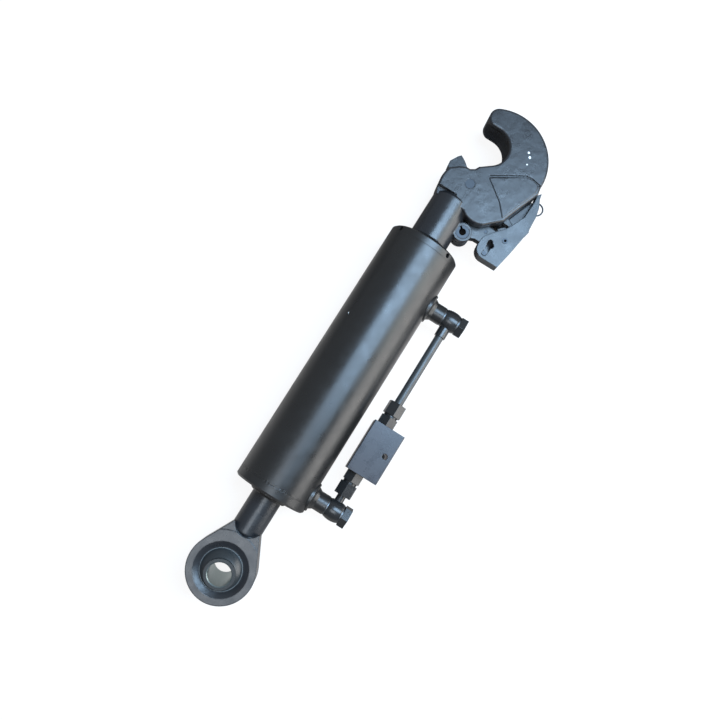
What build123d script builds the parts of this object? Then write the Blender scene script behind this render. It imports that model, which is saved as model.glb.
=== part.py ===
from build123d import *
from math import cos, radians, sin, sqrt
import os

# Hydraulic tractor top link with a ball eye, a lock valve and a catch hook
# Frame: origin at the centre of the eye's ball, +X along the link to the hook,
# +Z along the pin of the eye, and the hook's mouth opens to +Y. Millimetres.

# Fits
running = 0.05
seated = 0.03
side_gap = 0.3
ball_gap = 0.1

# Ball and eye
ball_radius = 28.0
ball_width = 51.0
ball_bore = 12.85
ball_collar = 17.0
ball_chamfer = 1.0
ball_tilt = 9.4
ball_tilt_heading = 201.0
eye_radius = 37.5
eye_half_width = 19.3
eye_lip_height = 17.0
eye_dish_radius = 29.2
eye_dish_depth = 3.2
eye_boss_radius = 42.2
eye_boss_rise = 0.5
eye_flank_angle = 27.4
eye_flank_end = 50.5
pocket_radius = 16.0
pocket_start = 41.0
pocket_floor = 8.0
shank_radius = 17.3
shank_end_round = 5.0
shank_end_drop = 3.5
shank_weld = 4.5

# Barrel
barrel_start = 92.6
barrel_radius = 42.5
barrel_wall = 7.5
seam_chamfer = 0.2
cap_length = 11.4
cap_spigot = 4.0
collar_length = 9.4
edge_round = 2.0
thread_rise = 2.0
thread_length = 27.8
nose_length = 14.0
stop_nose_length = 18.0
stop_nose_radius = 26.0
spanner_hole_radius = 2.6
spanner_hole_depth = 5.0
spanner_hole_angle = 130.9
spanner_hole_count = 4

# Rod, piston and seals
rod_radius = 20.0
stroke_reserve = 128.6
stop_gap = 0.5
piston_length = 28.0
piston_spigot_radius = 13.0
piston_nut_length = 13.0
piston_nut_flats = 36.0
seal_width = 7.0
seal_depth = 5.0
guide_width = 5.0
guide_depth = 3.0
guide_margin = 3.0
rod_seal_width = 8.0
rod_seal_depth = 5.0
rod_guide_width = 12.0
rod_guide_depth = 2.5
wiper_width = 7.2
wiper_lip = 2.3
o_ring_section = 1.6

# Hydraulic fittings along the barrel
port_base_x = 114.0
port_head_reach = 58.9
port_hole_radius = 4.0
boss_radius = 11.0
boss_height = 17.9
boss_weld = 6.0
washer_thickness = 1.5
banjo_height = 16.6
banjo_radius = 12.2
banjo_face_radius = 10.8
banjo_bolt_radius = 8.3
banjo_bolt_clearance = 6.9
banjo_head_height = 8.0
banjo_head_flats = 22.0
pipe_radius = 5.0
pipe_bore = 3.5
stub_radius = 6.5
stub_length = 22.0
nut_length = 15.0
nut_flats = 19.0
nut_turn = 8.0
stud_radius = 7.9
stud_length = 15.0
hex_length = 11.0
hex_flats = 19.0
block_thread_radius = 6.6
pipe_socket = 9.0
nut_setback = 2.8
nut_wall = 2.4
ring_length = 5.0

# Valve block
block_start = 161.1
block_length = 60.6
block_height = 37.8
block_width = 35.0
block_rise = 13.3
banjo_pipe_offset = 1.2
block_thread_depth = block_length * 0.15
poppet_chamber_radius = 5.5
valve_seat_radius = 2.6
valve_seat_length = block_length / 20
pilot_radius = 4.9
pilot_bore_length = block_length / 3
pilot_length = pilot_bore_length * 0.4
pilot_nose_radius = 1.5
pilot_nose_length = block_length / 12
poppet_radius = 4.6
poppet_guide_length = block_length / 25
poppet_spring_radius = 4.1
poppet_spring_wire = block_length / 121
poppet_spring_turns = 3
hose_port_radius = 7.5
hose_port_depth = 14.0
hose_port_spacing = 28.0
hose_drill_radius = 1.4
hose_drill_spacing = 16.0
fixing_hole_radius = 3.1
fixing_hole_offset = 0.9
fixing_hole_height = 7.9

# Hook
closed_length = 557.0
barrel_end_reach = 135.8
seat_offset = -2.0
hook_half_width = 20.5
jaw_radius = 23.5
seat_clearance = 0.3
neck_radius = 23.2
neck_gap = 4.8
neck_root_reach = 69.0
neck_taper = 6.0
spigot_radius = 12.0
spigot_length = 18.0
panel_rise = 1.0
panel_groove_width = 2.2
panel_groove_depth = 1.8
neck_relief_length = 18.0
neck_relief_level = 14.0
forging_edge = 2.4

# Latch pawl and its channel through the hook
latch_angle = 46.0
channel_half_width = 8.3
channel_low = -8.5
channel_high = 13.1
channel_open_low = -13.0
pawl_half_width = 8.0
pawl_low = -8.2
pawl_high = 12.8
pawl_back = -32.0
tail_half_width = 2.1
tail_radius = 5.0
guide_pin_radius = 3.5
guide_head_radius = 5.5
guide_head_depth = 3.0
guide_pin_along = 5.3
guide_pin_up = -2.9

# Release lever
lever_swing = 24.0
lever_half_width = 8.5
lever_plate = 2.2
lever_corner = 12.0
ear_radius = 11.0
ear_half_width = 12.0
roll_pin_radius = 7.5
roll_pin_wall = 3.4
roll_pin_slot = 2.4
drive_radius = 23.0
drive_pin_radius = 2.5
drive_eye_radius = 6.0
park_pin_radius = 2.6
cam_slot_width = 6.0
tongue_half_width = 2.0
rocker_inner = 2.3
rocker_outer = 6.0
rocker_eye_radius = 10.5
rivet_radius = 2.6
rivet_head_radius = 3.4
rivet_head_height = 0.8
rivet_bore = 1.6
loop_radius = 7.4
loop_wire = 0.9
loop_rise = 5.7
spring_wire = 0.7
spring_radius = 2.9
spring_turns = 9
spring_lead = 14.6
spring_trail = 6.8
spring_post_radius = 1.8
lug_inner = 1.2
lug_thickness = 2.0

# Places that follow from the sizes
barrel_end = closed_length - barrel_end_reach
neck_start = barrel_end + neck_gap
stroke = barrel_end - barrel_start - stroke_reserve
bore_radius = barrel_radius - barrel_wall
thread_radius = bore_radius + thread_rise
port_head_x = barrel_end - port_head_reach
boss_reach = barrel_radius + boss_height
seat = (closed_length, seat_offset)
neck_end = seat[0] - neck_root_reach
ear = (seat[0] - 101.2, seat[1] - 26.1)
park = (seat[0] - 107.8, seat[1] - 59.8)
rivet_place = (seat[0] - 82.5, seat[1] - 73.0)
loop_place = (seat[0] - 27.2, seat[1] - 85.6)
spring_post_lever = (seat[0] - 84.2, seat[1] - 48.5)
spring_post_hook = (seat[0] - 62.5, seat[1] - 71.0)
latch_plane = Plane(
    origin=(seat[0] - 57, seat[1] - 6, 0),
    x_dir=(cos(radians(latch_angle)), sin(radians(latch_angle)), 0),
    z_dir=(0, 0, 1),
)
drive_angle = radians(latch_angle - 90 + lever_swing / 2)
drive = (ear[0] + drive_radius * cos(drive_angle), ear[1] + drive_radius * sin(drive_angle))
drive_on_latch = latch_plane.to_local_coords(Vector(drive[0], drive[1], 0))
pawl_travel = 2 * drive_radius * sin(radians(lever_swing / 2))
tube_start = barrel_start + cap_length
tube_end = barrel_end - collar_length
thread_start = tube_end - thread_length
nose_start = thread_start - nose_length
stop_face = nose_start - stop_nose_length
piston_end = stop_face - stroke - stop_gap
piston_start = piston_end - piston_length
seal_start = piston_start + (piston_length - seal_width) / 2
guide_starts = (piston_start + guide_margin, piston_end - guide_margin - guide_width)
wiper_start = barrel_end - wiper_width
rod_seal_start = thread_start + 8
rod_guide_start = nose_start + 4
block_end = block_start + block_length
block_middle = block_start + block_length / 2
banjo_middle = boss_reach + washer_thickness + banjo_height / 2
pipe_line = banjo_pipe_offset - banjo_middle
block_top = pipe_line + block_rise
bolt_seat = boss_reach + washer_thickness * 2 + banjo_height


def finish(piece, name):
    """Name a finished piece and write its file."""
    piece.part.label = name
    export_step(piece.part, f"parts/{name}.step")


def turned(*profile):
    """A piece turned about the link's axis from (x, radius) points."""
    with BuildPart() as piece:
        with BuildSketch(Plane.XY):
            with BuildLine():
                Polyline(*profile, close=True)
            make_face()
        revolve(axis=Axis.X)
    return piece


def near_seat(across, up):
    """A point in the middle plane, measured from the centre of the hook's seat."""
    return (seat[0] + across, seat[1] + up)


os.makedirs("parts", exist_ok=True)

# Ball, turned about its own tilted axis
heading = radians(ball_tilt_heading)
lean = radians(ball_tilt)
ball_axis = (sin(lean) * cos(heading), sin(lean) * sin(heading), cos(lean))
ball_plane = Plane(origin=(0, 0, 0), x_dir=(-sin(heading), cos(heading), 0), z_dir=ball_axis)
collar_level = sqrt(ball_radius**2 - ball_collar**2)
ball_section = Plane(origin=(0, 0, 0), x_dir=ball_plane.x_dir, z_dir=-ball_plane.y_dir)
with BuildPart() as ball:
    with BuildSketch(ball_section):
        with BuildLine():
            Polyline(
                (ball_collar, collar_level),
                (ball_collar, ball_width / 2),
                (ball_bore + ball_chamfer, ball_width / 2),
                (ball_bore, ball_width / 2 - ball_chamfer),
                (ball_bore, ball_chamfer - ball_width / 2),
                (ball_bore + ball_chamfer, -ball_width / 2),
                (ball_collar, -ball_width / 2),
                (ball_collar, -collar_level),
            )
            ThreePointArc((ball_collar, -collar_level), (ball_radius, 0), (ball_collar, collar_level))
        make_face()
    revolve(axis=Axis((0, 0, 0), ball_axis))
finish(ball, "ball")

# Eye end, a forged plate with a turned boss; on each side a round pocket shows the shank's rounded end
cavity_radius = ball_radius + ball_gap
lip_radius = sqrt(cavity_radius**2 - eye_lip_height**2)
flank_turn = radians(eye_flank_angle)
flank_start = (eye_radius * sin(flank_turn), eye_radius * cos(flank_turn))
flank_end_y = flank_start[1] - (eye_flank_end - flank_start[0]) * sin(flank_turn) / cos(flank_turn)
with BuildPart() as eye_end:
    with BuildSketch():
        with BuildLine():
            Polyline(
                flank_start,
                (eye_flank_end, flank_end_y),
                (eye_flank_end, -flank_end_y),
                (flank_start[0], -flank_start[1]),
                close=True,
            )
        make_face()
        Circle(eye_radius)
    extrude(amount=eye_half_width - eye_boss_rise, both=True)
    with BuildSketch():
        with BuildLine():
            Polyline(
                flank_start,
                (eye_flank_end, flank_end_y),
                (eye_flank_end, -flank_end_y),
                (flank_start[0], -flank_start[1]),
                close=True,
            )
        make_face()
        Circle(eye_boss_radius, mode=Mode.INTERSECT)
        Circle(eye_radius)
    extrude(amount=eye_half_width, both=True)
    for level in (pocket_floor, -pocket_floor - eye_half_width):
        with BuildSketch(Plane.XY.offset(level)):
            with Locations((pocket_start + pocket_radius, 0)):
                Circle(pocket_radius)
        extrude(amount=eye_half_width, mode=Mode.SUBTRACT)
    with BuildSketch(Plane.XY):
        with BuildLine():
            nose = ThreePointArc(
                (pocket_start - 0.2, shank_radius - shank_end_drop),
                (pocket_start + shank_end_round * 0.3, shank_radius - shank_end_drop * 0.25),
                (pocket_start + shank_end_round, shank_radius),
            )
            Polyline(
                nose @ 1,
                (barrel_start - shank_weld, shank_radius),
                (barrel_start - shank_weld / 2, shank_radius + shank_weld * 0.7),
                (barrel_start, shank_radius + shank_weld),
                (barrel_start, 0),
                (eye_radius, 0),
                nose @ 0,
            )
        make_face()
    revolve(axis=Axis.X)
    Sphere(cavity_radius, mode=Mode.SUBTRACT)
    with BuildSketch(Plane.XZ):
        with BuildLine():
            Polyline(
                (lip_radius - 3, eye_half_width + 1),
                (lip_radius - 3, eye_lip_height),
                (lip_radius + 0.4, eye_lip_height),
                (lip_radius + 1, eye_half_width - eye_dish_depth),
                (eye_dish_radius, eye_half_width - 0.4),
                (eye_dish_radius + 0.6, eye_half_width),
                (eye_dish_radius + 0.6, eye_half_width + 1),
                close=True,
            )
        make_face()
        mirror(about=Plane.XZ)
    revolve(axis=Axis.Z, mode=Mode.SUBTRACT)
finish(eye_end, "eye_end")

# Base cap with a spigot in the tube
base_cap = turned(
    (barrel_start, 0),
    (barrel_start, barrel_radius - edge_round),
    (barrel_start + edge_round, barrel_radius),
    (tube_start - seam_chamfer, barrel_radius),
    (tube_start, barrel_radius - seam_chamfer),
    (tube_start, bore_radius - seated),
    (tube_start + cap_spigot, bore_radius - seated),
    (tube_start + cap_spigot, 0),
)
finish(base_cap, "base_cap")

# Barrel tube, with a weld groove at the cap and a port hole at each end
with BuildPart() as barrel_tube:
    with BuildSketch(Plane.XY):
        with BuildLine():
            Polyline(
                (tube_start, bore_radius),
                (tube_start, barrel_radius - seam_chamfer),
                (tube_start + seam_chamfer, barrel_radius),
                (tube_end, barrel_radius),
                (tube_end, thread_radius),
                (thread_start, thread_radius),
                (thread_start, bore_radius),
                close=True,
            )
        make_face()
    revolve(axis=Axis.X)
    with BuildSketch(Plane.XZ):
        with Locations((port_base_x, 0), (port_head_x, 0)):
            Circle(port_hole_radius)
    extrude(amount=barrel_radius * 2, mode=Mode.SUBTRACT)
finish(barrel_tube, "barrel_tube")

# Gland head: collar, screwed part, guide nose and stop nose
gland_bore = rod_radius + running
with BuildPart() as gland_head:
    with BuildSketch(Plane.XY):
        with BuildLine():
            Polyline(
                (stop_face, gland_bore),
                (stop_face, stop_nose_radius),
                (nose_start, stop_nose_radius),
                (nose_start, bore_radius - seated),
                (thread_start, bore_radius - seated),
                (thread_start, thread_radius - seated),
                (tube_end, thread_radius - seated),
                (tube_end, barrel_radius),
                (barrel_end - edge_round, barrel_radius),
                (barrel_end, barrel_radius - edge_round),
                (barrel_end, rod_radius + rod_seal_depth),
                (wiper_start, rod_radius + rod_seal_depth),
                (wiper_start, gland_bore),
                (rod_seal_start + rod_seal_width, gland_bore),
                (rod_seal_start + rod_seal_width, rod_radius + rod_seal_depth),
                (rod_seal_start, rod_radius + rod_seal_depth),
                (rod_seal_start, gland_bore),
                (rod_guide_start + rod_guide_width, gland_bore),
                (rod_guide_start + rod_guide_width, rod_radius + rod_guide_depth),
                (rod_guide_start, rod_radius + rod_guide_depth),
                (rod_guide_start, gland_bore),
                close=True,
            )
        make_face()
    revolve(axis=Axis.X)
    o_ring_x = nose_start + nose_length / 2
    with BuildSketch(Plane.XY):
        with Locations((o_ring_x, bore_radius - o_ring_section)):
            Rectangle(o_ring_section * 2 + 0.4, o_ring_section * 2 + 0.1)
    revolve(axis=Axis.X, mode=Mode.SUBTRACT)
    for step in range(spanner_hole_count):
        turn = radians(spanner_hole_angle + step * 360 / spanner_hole_count)
        outward = Vector(0, cos(turn), sin(turn))
        floor = outward * (barrel_radius - spanner_hole_depth)
        hole_middle = barrel_end - collar_length / 2
        with BuildSketch(Plane(origin=(hole_middle, floor.Y, floor.Z), z_dir=outward)):
            Circle(spanner_hole_radius)
        extrude(amount=spanner_hole_depth * 2, mode=Mode.SUBTRACT)
finish(gland_head, "gland_head")

# Seals of the gland
rod_seal = turned(
    (rod_seal_start + running, rod_radius + running),
    (rod_seal_start + rod_seal_width - running, rod_radius + running),
    (rod_seal_start + rod_seal_width - running, rod_radius + rod_seal_depth - running),
    (rod_seal_start + running, rod_radius + rod_seal_depth - running),
)
finish(rod_seal, "rod_seal")
rod_guide_ring = turned(
    (rod_guide_start + running, rod_radius + running),
    (rod_guide_start + rod_guide_width - running, rod_radius + running),
    (rod_guide_start + rod_guide_width - running, rod_radius + rod_guide_depth - running),
    (rod_guide_start + running, rod_radius + rod_guide_depth - running),
)
finish(rod_guide_ring, "rod_guide_ring")
rod_wiper = turned(
    (wiper_start + running, rod_radius + running),
    (barrel_end + wiper_lip, rod_radius + running),
    (barrel_end + wiper_lip, rod_radius + 0.8),
    (barrel_end, rod_radius + 3),
    (barrel_end, rod_radius + rod_seal_depth - running),
    (wiper_start + running, rod_radius + rod_seal_depth - running),
)
finish(rod_wiper, "rod_wiper")
with BuildPart() as gland_o_ring:
    with BuildSketch(Plane.XY):
        with Locations((o_ring_x, bore_radius - seated - o_ring_section)):
            Circle(o_ring_section)
    revolve(axis=Axis.X)
finish(gland_o_ring, "gland_o_ring")

# Rod with the piston's spigot at one end and the hook's spigot at the other
spigot_end = neck_start + spigot_length
rod_tip = piston_start - piston_nut_length
piston_rod = turned(
    (rod_tip, 0),
    (rod_tip, piston_spigot_radius - 1),
    (rod_tip + 1, piston_spigot_radius),
    (piston_end, piston_spigot_radius),
    (piston_end, rod_radius),
    (neck_start, rod_radius),
    (neck_start, spigot_radius),
    (spigot_end - 1, spigot_radius),
    (spigot_end, spigot_radius - 1),
    (spigot_end, 0),
)
finish(piston_rod, "piston_rod")

# Piston with grooves for its seal and guide rings
piston_radius = bore_radius - 0.2
with BuildPart() as piston:
    with BuildSketch(Plane.XY):
        with Locations((piston_start, piston_spigot_radius + seated)):
            Rectangle(
                piston_length,
                piston_radius - piston_spigot_radius - seated,
                align=(Align.MIN, Align.MIN),
            )
        with Locations((seal_start, piston_radius)):
            Rectangle(
                seal_width, seal_depth * 2, align=(Align.MIN, Align.CENTER), mode=Mode.SUBTRACT
            )
        with Locations(*[(start, piston_radius) for start in guide_starts]):
            Rectangle(
                guide_width, guide_depth * 2, align=(Align.MIN, Align.CENTER), mode=Mode.SUBTRACT
            )
    revolve(axis=Axis.X)
finish(piston, "piston")

# Seal and guide rings that slide in the bore and hold still while the rod turns
slide_radius = bore_radius - running
seal_floor = piston_radius - seal_depth + running
guide_floor = piston_radius - guide_depth + running
piston_seal = turned(
    (seal_start + running, seal_floor),
    (seal_start + seal_width - running, seal_floor),
    (seal_start + seal_width - running, slide_radius),
    (seal_start + running, slide_radius),
)
finish(piston_seal, "piston_seal")
with BuildPart() as piston_guide_rings:
    with BuildSketch(Plane.XY):
        with Locations(*[(start + running, guide_floor) for start in guide_starts]):
            Rectangle(
                guide_width - running * 2, slide_radius - guide_floor, align=(Align.MIN, Align.MIN)
            )
    revolve(axis=Axis.X)
finish(piston_guide_rings, "piston_guide_rings")

# Nut on the piston's spigot
with BuildPart() as piston_nut:
    with BuildSketch(Plane.YZ.offset(rod_tip)):
        RegularPolygon(piston_nut_flats / 2, 6, major_radius=False)
        Circle(piston_spigot_radius + seated, mode=Mode.SUBTRACT)
    extrude(amount=piston_nut_length)
finish(piston_nut, "piston_nut")

# Fittings at the two ports: boss, banjo, hollow bolt and washers
down = (0, -1, 0)
for port_x, end in ((port_base_x, "base"), (port_head_x, "head")):
    weld_start = barrel_radius - 4
    with BuildPart() as boss:
        with BuildSketch(Plane(origin=(port_x, 0, 0), x_dir=(0, -1, 0), z_dir=(0, 0, 1))):
            with BuildLine():
                Polyline(
                    (weld_start, banjo_bolt_radius + seated),
                    (boss_reach, banjo_bolt_radius + seated),
                    (boss_reach, boss_radius - 0.6),
                    (boss_reach - 0.6, boss_radius),
                    (barrel_radius + boss_weld, boss_radius),
                    (barrel_radius + boss_weld / 3, boss_radius + boss_weld * 0.4),
                    (barrel_radius, boss_radius + boss_weld),
                    (weld_start, boss_radius + boss_weld),
                    close=True,
                )
            make_face()
        revolve(axis=Axis((port_x, 0, 0), down))
        with BuildSketch(Plane.YZ.offset(tube_start - cap_length)):
            Circle(barrel_radius)
        extrude(amount=barrel_end - barrel_start, mode=Mode.SUBTRACT)
    finish(boss, f"port_boss_{end}")

    side = 1 if end == "base" else -1
    pipe_run = block_start - pipe_socket - seated - port_x
    with BuildPart() as banjo:
        with BuildSketch(Plane(origin=(port_x, 0, 0), x_dir=(0, -1, 0), z_dir=(0, 0, 1))):
            with BuildLine():
                bulge = ThreePointArc(
                    (banjo_middle - banjo_height / 2, banjo_face_radius),
                    (banjo_middle, banjo_radius),
                    (banjo_middle + banjo_height / 2, banjo_face_radius),
                )
                Line(bulge @ 1, (banjo_middle + banjo_height / 2, 0))
                Line((banjo_middle + banjo_height / 2, 0), (banjo_middle - banjo_height / 2, 0))
                Line((banjo_middle - banjo_height / 2, 0), bulge @ 0)
            make_face()
        revolve(axis=Axis((port_x, 0, 0), down))
        with BuildSketch(Plane(origin=(port_x, pipe_line, 0), z_dir=(side, 0, 0))):
            Circle(pipe_radius if end == "base" else stub_radius)
        extrude(amount=pipe_run if end == "base" else stub_length)
        with BuildSketch(Plane(origin=(port_x, pipe_line, 0), z_dir=(side, 0, 0))):
            Circle(pipe_bore)
        extrude(amount=block_start - port_x, mode=Mode.SUBTRACT)
        with BuildSketch(Plane(origin=(port_x, -boss_reach, 0), z_dir=down)):
            Circle(banjo_bolt_radius + seated)
        extrude(amount=banjo_height * 2, mode=Mode.SUBTRACT)
        if end == "head":
            with BuildSketch(Plane(origin=(port_x - stub_length / 2, pipe_line, 0), z_dir=(side, 0, 0))):
                Circle(pipe_radius + seated)
            extrude(amount=stub_length, mode=Mode.SUBTRACT)
    finish(banjo, f"banjo_{end}")

    with BuildPart() as banjo_bolt:
        with BuildSketch(Plane(origin=(port_x, -bolt_seat, 0), z_dir=down)):
            RegularPolygon(banjo_head_flats / 2, 6, major_radius=False, rotation=10)
        extrude(amount=banjo_head_height)
        with BuildSketch(Plane(origin=(port_x, -bolt_seat, 0), z_dir=(0, 1, 0))):
            Circle(banjo_bolt_radius)
        extrude(amount=bolt_seat - barrel_radius - banjo_bolt_clearance)
        with BuildSketch(Plane(origin=(port_x, -banjo_middle, 0), z_dir=(0, 1, 0))):
            Circle(port_hole_radius)
        extrude(amount=barrel_radius, mode=Mode.SUBTRACT)
        with BuildSketch(Plane(origin=(port_x, pipe_line, 0), z_dir=(side, 0, 0))):
            Circle(pipe_bore)
        extrude(amount=boss_radius * 2, both=True, mode=Mode.SUBTRACT)
    finish(banjo_bolt, f"banjo_bolt_{end}")

with BuildPart() as banjo_washers:
    for port_x in (port_base_x, port_head_x):
        for top in (boss_reach, bolt_seat - washer_thickness):
            with BuildSketch(Plane(origin=(port_x, -top, 0), z_dir=down)):
                Circle(banjo_face_radius - 0.4)
                Circle(banjo_bolt_radius + seated, mode=Mode.SUBTRACT)
            extrude(amount=washer_thickness)
finish(banjo_washers, "banjo_washers")

# Stud adaptors, cutting rings and union nuts on both ends of the block
stud_end = hex_length + stud_length
nut_start = hex_length + nut_setback
ring_start = stud_end - ring_length
for face_x, side, end in ((block_start, -1, "base"), (block_end, 1, "tube")):
    along = Plane(origin=(face_x, pipe_line, 0), x_dir=(side, 0, 0), z_dir=(0, 0, side))
    outward = Plane(origin=(face_x, pipe_line, 0), z_dir=(side, 0, 0))
    pipe_axis = Axis((face_x, pipe_line, 0), (side, 0, 0))
    with BuildPart() as adaptor:
        with BuildSketch(outward):
            RegularPolygon(hex_flats / 2, 6, major_radius=False)
        extrude(amount=hex_length)
        with BuildSketch(along):
            with BuildLine():
                Polyline(
                    (1 - block_thread_depth, 0),
                    (1 - block_thread_depth, block_thread_radius - seated),
                    (0, block_thread_radius - seated),
                    (hex_length, stud_radius),
                    (stud_end, stud_radius),
                    (stud_end, 0),
                    close=True,
                )
            make_face()
        revolve(axis=pipe_axis)
        with BuildSketch(along):
            with BuildLine():
                Polyline(
                    (-block_thread_depth, 0),
                    (-block_thread_depth, pipe_bore),
                    (pipe_socket, pipe_bore),
                    (pipe_socket, pipe_radius + seated),
                    (ring_start, pipe_radius + seated),
                    (stud_end, pipe_radius + 1.8),
                    (stud_end, 0),
                    close=True,
                )
            make_face()
        revolve(axis=pipe_axis, mode=Mode.SUBTRACT)
    finish(adaptor, f"stud_adaptor_{end}")

    with BuildPart() as cutting_ring:
        with BuildSketch(along):
            with BuildLine():
                Polyline(
                    (ring_start + 0.5, pipe_radius + seated),
                    (stud_end, pipe_radius + 1.6),
                    (nut_start + nut_length - nut_wall - seated, pipe_radius + 1.6),
                    (nut_start + nut_length - nut_wall - seated, pipe_radius + seated),
                    close=True,
                )
            make_face()
        revolve(axis=pipe_axis)
    finish(cutting_ring, f"cutting_ring_{end}")

    with BuildPart() as union_nut:
        with BuildSketch(outward.offset(nut_start)):
            RegularPolygon(nut_flats / 2, 6, major_radius=False, rotation=nut_turn)
        extrude(amount=nut_length)
        with BuildSketch(along):
            with BuildLine():
                Polyline(
                    (nut_start, 0),
                    (nut_start, stud_radius + seated),
                    (nut_start + nut_length - nut_wall, stud_radius + seated),
                    (nut_start + nut_length - nut_wall, pipe_radius + seated),
                    (nut_start + nut_length, pipe_radius + seated),
                    (nut_start + nut_length, 0),
                    close=True,
                )
            make_face()
        revolve(axis=pipe_axis, mode=Mode.SUBTRACT)
    finish(union_nut, f"union_nut_{end}")

tube_from = block_end + pipe_socket + seated
with BuildPart() as steel_tube:
    with BuildSketch(Plane(origin=(tube_from, pipe_line, 0), z_dir=(1, 0, 0))):
        Circle(pipe_radius)
        Circle(pipe_bore, mode=Mode.SUBTRACT)
    extrude(amount=port_head_x - stub_length / 2 - seated - tube_from)
finish(steel_tube, "steel_tube")

# Valve block with its bore, seats, hose ports and fixing hole
block_low = block_top - block_height
half_pilot_bore = pilot_bore_length / 2
with BuildPart() as valve_block:
    with BuildSketch(Plane.YZ.offset(block_start)):
        with Locations(((block_top + block_low) / 2, 0)):
            Rectangle(block_height, block_width)
    extrude(amount=block_length)
    chamfer(valve_block.edges().filter_by(Axis.X), 0.8)
    with BuildSketch(Plane(origin=(block_middle, pipe_line, 0), z_dir=(0, 0, 1))):
        with BuildLine():
            Polyline(
                (0, 0),
                (0, pilot_radius + running),
                (half_pilot_bore, pilot_radius + running),
                (half_pilot_bore, valve_seat_radius),
                (half_pilot_bore + valve_seat_length, valve_seat_radius),
                (half_pilot_bore + valve_seat_length, poppet_chamber_radius),
                (block_length / 2 - block_thread_depth, poppet_chamber_radius),
                (block_length / 2 - block_thread_depth, block_thread_radius),
                (block_length / 2, block_thread_radius),
                (block_length / 2, 0),
                close=True,
            )
        make_face()
        mirror(about=Plane.YZ)
    revolve(axis=Axis((block_middle, pipe_line, 0), (1, 0, 0)), mode=Mode.SUBTRACT)
    with BuildSketch(Plane(origin=(block_middle, block_low, 0), x_dir=(1, 0, 0), z_dir=(0, 1, 0))):
        with GridLocations(hose_port_spacing, 1, 2, 1):
            Circle(hose_port_radius)
    extrude(amount=hose_port_depth, mode=Mode.SUBTRACT)
    with BuildSketch(Plane(origin=(block_middle, block_low, 0), x_dir=(1, 0, 0), z_dir=(0, 1, 0))):
        with GridLocations(hose_drill_spacing, 1, 2, 1):
            Circle(hose_drill_radius)
    extrude(amount=pipe_line - block_low, mode=Mode.SUBTRACT)
    with BuildSketch(Plane.XY.offset(-block_width)):
        with Locations((block_middle + fixing_hole_offset, block_low + fixing_hole_height)):
            Circle(fixing_hole_radius)
    extrude(amount=block_width * 2, mode=Mode.SUBTRACT)
finish(valve_block, "valve_block")

# Pilot piston with a nose at each end
with BuildPart() as pilot_piston:
    with BuildSketch(Plane(origin=(block_middle - pilot_length / 2, pipe_line, 0), z_dir=(1, 0, 0))):
        Circle(pilot_radius)
    extrude(amount=pilot_length)
    with BuildSketch(Plane(origin=(block_middle, pipe_line, 0), z_dir=(1, 0, 0))):
        Circle(pilot_nose_radius)
    extrude(amount=pilot_length / 2 + pilot_nose_length, both=True)
finish(pilot_piston, "pilot_piston")

# Poppets on their seats, each held shut by a spring against its adaptor
block_halves = Plane.YZ.offset(block_middle)
seat_face = half_pilot_bore + valve_seat_length
cone = poppet_radius - valve_seat_radius + seated
poppet_end = seat_face + cone + poppet_guide_length
with BuildPart() as poppet_base:
    with BuildSketch(Plane(origin=(block_middle, pipe_line, 0), x_dir=(-1, 0, 0), z_dir=(0, 0, -1))):
        with BuildLine():
            Polyline(
                (seat_face - 1, 0),
                (seat_face - 1, valve_seat_radius - 1 - seated),
                (seat_face + cone, poppet_radius),
                (poppet_end, poppet_radius),
                (poppet_end, 0),
                close=True,
            )
        make_face()
    revolve(axis=Axis((block_middle, pipe_line, 0), (-1, 0, 0)))
finish(poppet_base, "poppet_base")
with BuildPart() as poppet_tube:
    mirror(poppet_base.part, about=block_halves)
finish(poppet_tube, "poppet_tube")

spring_start = poppet_end + poppet_spring_wire
spring_length = block_length / 2 - block_thread_depth + 1 - spring_start - poppet_spring_wire
with BuildPart() as poppet_spring_base:
    with BuildLine():
        coil = Helix(
            pitch=spring_length / poppet_spring_turns,
            height=spring_length,
            radius=poppet_spring_radius,
            center=(block_middle - spring_start, pipe_line, 0),
            direction=(-1, 0, 0),
        )
    with BuildSketch(Plane(origin=coil @ 0, z_dir=coil % 0)):
        Circle(poppet_spring_wire)
    sweep()
finish(poppet_spring_base, "poppet_spring_base")
with BuildPart() as poppet_spring_tube:
    mirror(poppet_spring_base.part, about=block_halves)
finish(poppet_spring_tube, "poppet_spring_tube")

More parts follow.
